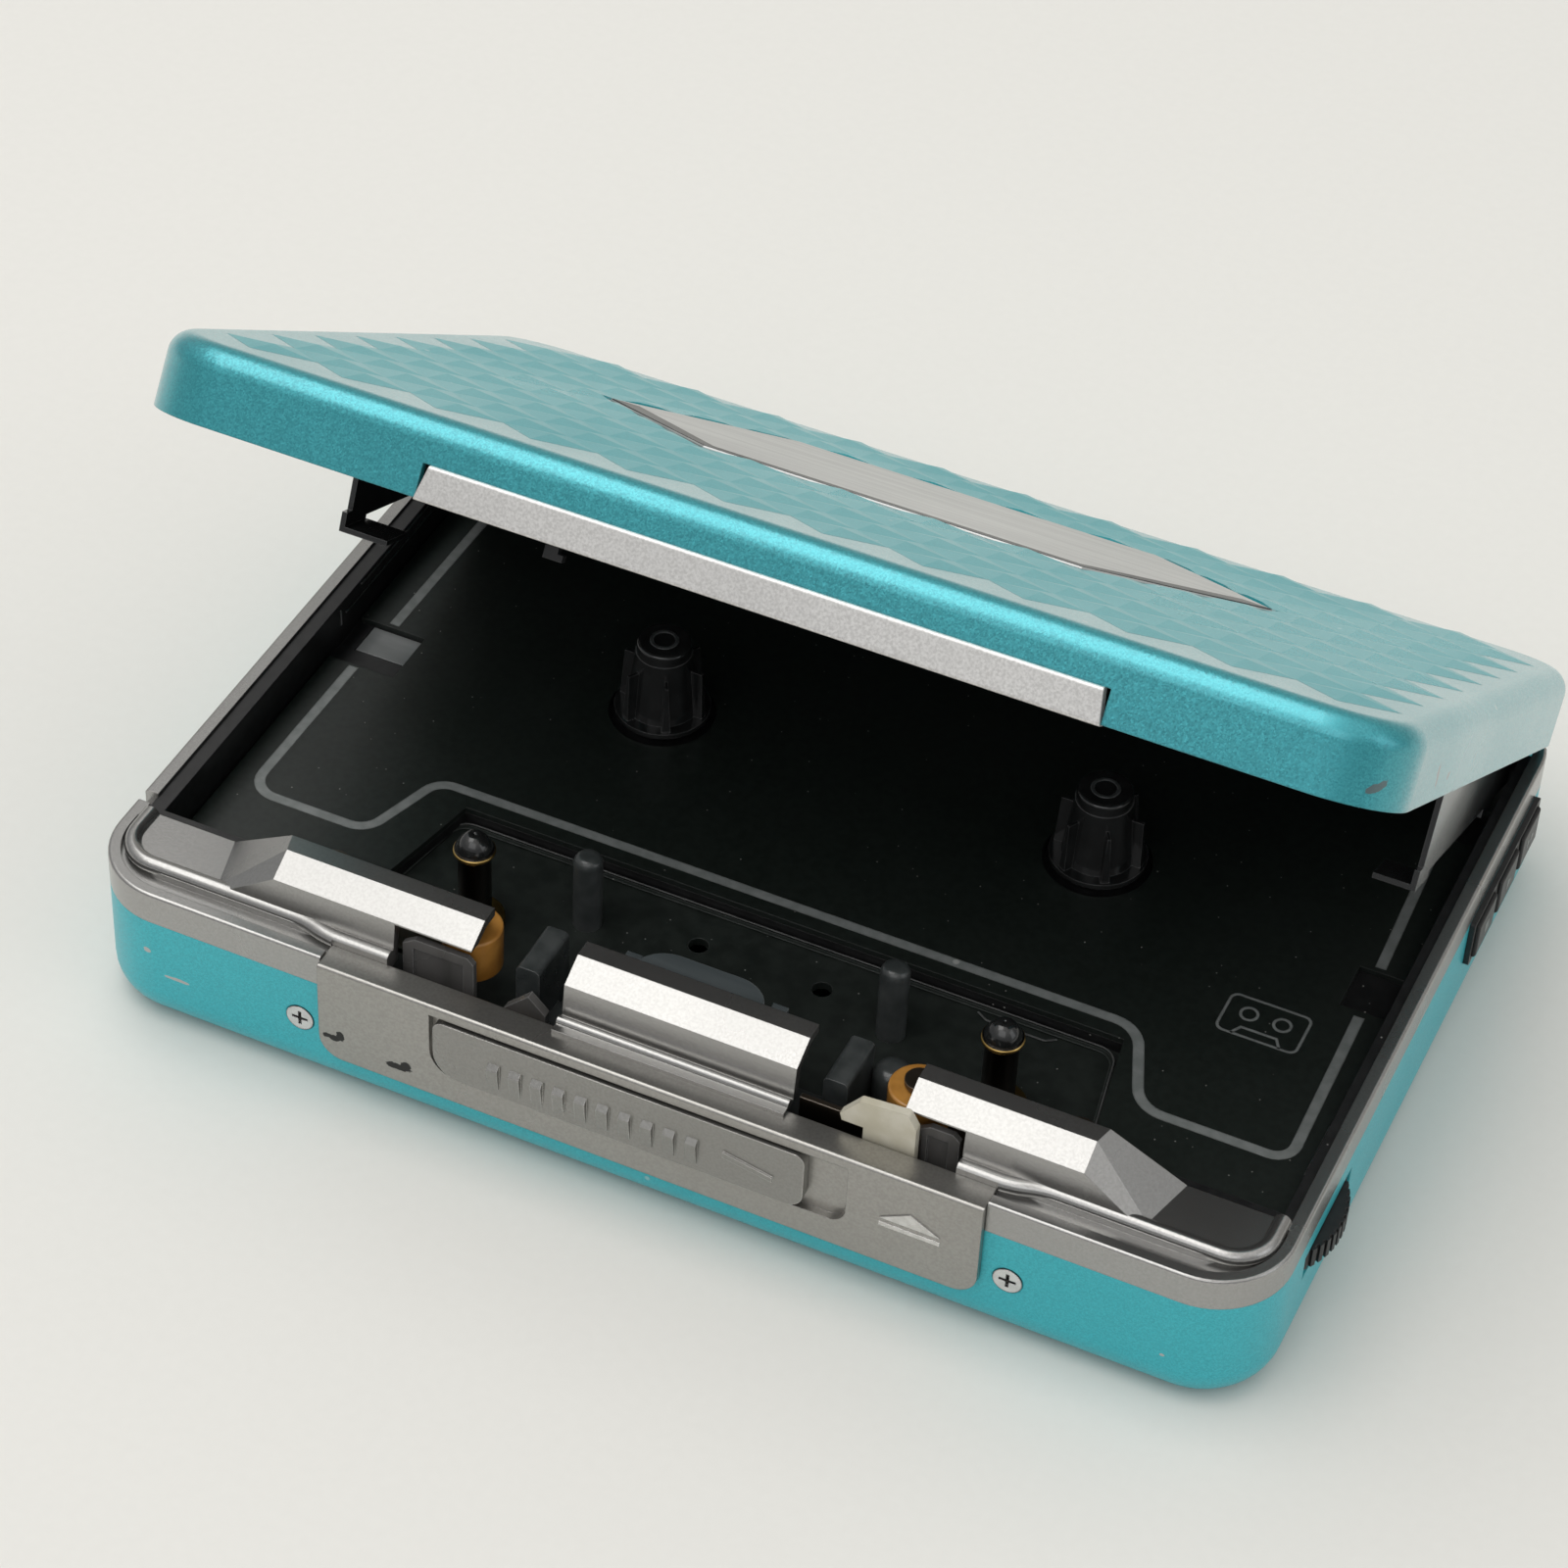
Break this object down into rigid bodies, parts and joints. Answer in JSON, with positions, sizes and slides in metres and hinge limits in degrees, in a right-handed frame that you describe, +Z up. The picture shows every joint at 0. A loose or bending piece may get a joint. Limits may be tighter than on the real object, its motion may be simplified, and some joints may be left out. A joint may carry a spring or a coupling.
{
  "type": "portable cassette player",
  "caption": "Pocket cassette player lying flat with its lid raised, showing two reel spindles, capstans and faceted covers over the tape path.",
  "frame": {"origin": "middle of the flat underside", "axes": "+X to the right side with the volume wheel, -Y to the front with the opening slider, +Z up through the lid"},
  "size_m": [0.1096, 0.0814, 0.0615],
  "materials": {
    "blue_paint": "turquoise metal-flake paint, light wear at the edges",
    "silver_grey": "satin silver-grey paint",
    "black_plastic": "moulded, fine texture",
    "steel": "plain rolled",
    "bright_steel": "ground",
    "silver_plate": "satin with bevelled edge",
    "ivory_plastic": "smooth",
    "grey_plastic": "smooth",
    "rubber": "smooth",
    "amber_rubber": "ground",
    "brass": "turned",
    "board_green": "lacquered board",
    "cell_wrap": "plastic sleeve"
  },
  "bodies": {
    "base": {"battery": "cell_wrap", "battery_contacts": "bright_steel", "bezel_frame": "silver_grey", "bottom_case": "blue_paint", "capstan_bushes": "brass", "case_screws": "steel", "chassis": "black_plastic", "circuit_board": "board_green", "deck_plate": "black_plastic", "drive_belt": "rubber", "front_panel": "silver_grey", "guide_posts": "grey_plastic", "head_cover": "silver_grey", "headphone_jack": "black_plastic", "hinge_pins": "bright_steel", "holder_rest": "grey_plastic", "key_plate": "black_plastic", "mech_plate": "steel", "motor": "steel", "reel_plate": "steel", "roller_guards": "grey_plastic", "slider_spring": "bright_steel", "spindle_posts": "bright_steel", "volume_pot": "grey_plastic"},
    "lid": {"lid_shell": "blue_paint", "lid_plate": "silver_plate", "grip_bar": "silver_grey", "lid_liner": "black_plastic", "lid_catches": "steel"},
    "holder": {"cassette_holder": "black_plastic", "holder_springs": "bright_steel"},
    "slider": {"open_slider": "silver_grey", "latch_bar": "steel", "latch_hook": "ivory_plastic", "latch_ramp": "grey_plastic"},
    "reel_left": {"reel_spindle_left": "black_plastic"},
    "reel_right": {"reel_spindle_right": "black_plastic"},
    "capstan_left_turning": {"capstan_left": "bright_steel", "flywheel_left": "brass"},
    "capstan_right_turning": {"capstan_right": "bright_steel", "flywheel_right": "brass"},
    "pulley": {"motor_pulley": "brass"},
    "idler": {"belt_idler": "grey_plastic"},
    "head_slide_body": {"head_plate": "grey_plastic", "tape_head": "steel"},
    "arm_left": {"pinch_arm_left": "black_plastic"},
    "arm_right": {"pinch_arm_right": "black_plastic"},
    "roller_left": {"pinch_roller_left": "amber_rubber"},
    "roller_right": {"pinch_roller_right": "amber_rubber"},
    "volume": {"volume_wheel": "black_plastic"},
    "stop_key": {"key_stop": "black_plastic"},
    "play_key": {"key_play": "black_plastic"},
    "wind_key": {"key_wind": "black_plastic"},
    "hold": {"hold_switch": "black_plastic"},
    "door": {"battery_door": "blue_paint"}
  },
  "joints": [
    {"name": "lid_hinge", "type": "hinge", "parent": "base", "child": "lid", "pos_m": [0, 0.0348, 0.0158], "axis": [-1, 0, 0], "range_deg": [-34, 11]},
    {"name": "holder_hinge", "type": "hinge", "parent": "base", "child": "holder", "pos_m": [0, 0.0348, 0.0158], "axis": [-1, 0, 0], "range_deg": [-24.01, 7.8]},
    {"name": "open_slide", "type": "slide", "parent": "base", "child": "slider", "axis": [1, 0, 0], "range_m": [0, 0.0034], "stiffness_N_per_m": 250, "springref_m": -0.002, "deforming": ["slider_spring"]},
    {"name": "reel_left_spin", "type": "hinge", "parent": "base", "child": "reel_left", "pos_m": [-0.0208, 0.0068, 0.012], "axis": [0, 0, 1], "continuous": true},
    {"name": "reel_right_spin", "type": "hinge", "parent": "base", "child": "reel_right", "pos_m": [0.0217, 0.0068, 0.012], "axis": [0, 0, 1], "continuous": true},
    {"name": "capstan_left_spin", "type": "hinge", "parent": "base", "child": "capstan_left_turning", "pos_m": [-0.024, -0.0235, 0.008], "axis": [0, 0, 1], "continuous": true},
    {"name": "capstan_right_spin", "type": "hinge", "parent": "base", "child": "capstan_right_turning", "pos_m": [0.0249, -0.0235, 0.008], "axis": [0, 0, 1], "continuous": true},
    {"name": "motor_spin", "type": "hinge", "parent": "base", "child": "pulley", "pos_m": [0.00045, -0.001, 0.004], "axis": [0, 0, 1], "continuous": true},
    {"name": "idler_spin", "type": "hinge", "parent": "base", "child": "idler", "pos_m": [0.036, -0.008, 0.004], "axis": [0, 0, 1], "continuous": true},
    {"name": "head_slide", "type": "slide", "parent": "base", "child": "head_slide_body", "axis": [0, 1, 0], "range_m": [0, 0.0035]},
    {"name": "pinch_left_swing", "type": "hinge", "parent": "base", "child": "arm_left", "pos_m": [-0.0336, -0.0312, 0.015], "axis": [0, 0, 1], "range_deg": [0, 21.5]},
    {"name": "pinch_right_swing", "type": "hinge", "parent": "base", "child": "arm_right", "pos_m": [0.0345, -0.0312, 0.015], "axis": [0, 0, -1], "range_deg": [0, 21.5]},
    {"name": "pinch_left_spin", "type": "hinge", "parent": "arm_left", "child": "roller_left", "pos_m": [-0.02, -0.0314, 0.015], "axis": [0, 0, 1], "continuous": true},
    {"name": "pinch_right_spin", "type": "hinge", "parent": "arm_right", "child": "roller_right", "pos_m": [0.0209, -0.0314, 0.015], "axis": [0, 0, 1], "continuous": true},
    {"name": "volume_turn", "type": "hinge", "parent": "base", "child": "volume", "pos_m": [0.0473, -0.0228, 0.0088], "axis": [0, 0, 1], "range_deg": [-140, 140]},
    {"name": "stop_press", "type": "slide", "parent": "base", "child": "stop_key", "axis": [-1, 0, 0], "range_m": [0, 0.0005], "stiffness_N_per_m": 800, "springref_m": -0.0005},
    {"name": "play_press", "type": "slide", "parent": "base", "child": "play_key", "axis": [-1, 0, 0], "range_m": [0, 0.0005], "stiffness_N_per_m": 800, "springref_m": -0.0005},
    {"name": "wind_press", "type": "slide", "parent": "base", "child": "wind_key", "axis": [-1, 0, 0], "range_m": [0, 0.0005], "stiffness_N_per_m": 800, "springref_m": -0.0005},
    {"name": "hold_move", "type": "slide", "parent": "base", "child": "hold", "axis": [1, 0, 0], "range_m": [0, 0.002]},
    {"name": "door_hinge", "type": "hinge", "parent": "base", "child": "door", "pos_m": [-0.0536, 0.0158, 0.0047], "axis": [0, 0, 1], "range_deg": [0, 100]}
  ],
  "couplings": [
    {"joint": "holder_hinge", "follows": "lid_hinge", "ratio": 0.70588},
    {"joint": "capstan_right_spin", "follows": "capstan_left_spin", "ratio": -1},
    {"joint": "motor_spin", "follows": "capstan_left_spin", "ratio": 4.32},
    {"joint": "idler_spin", "follows": "capstan_left_spin", "ratio": 3.8571}
  ]
}
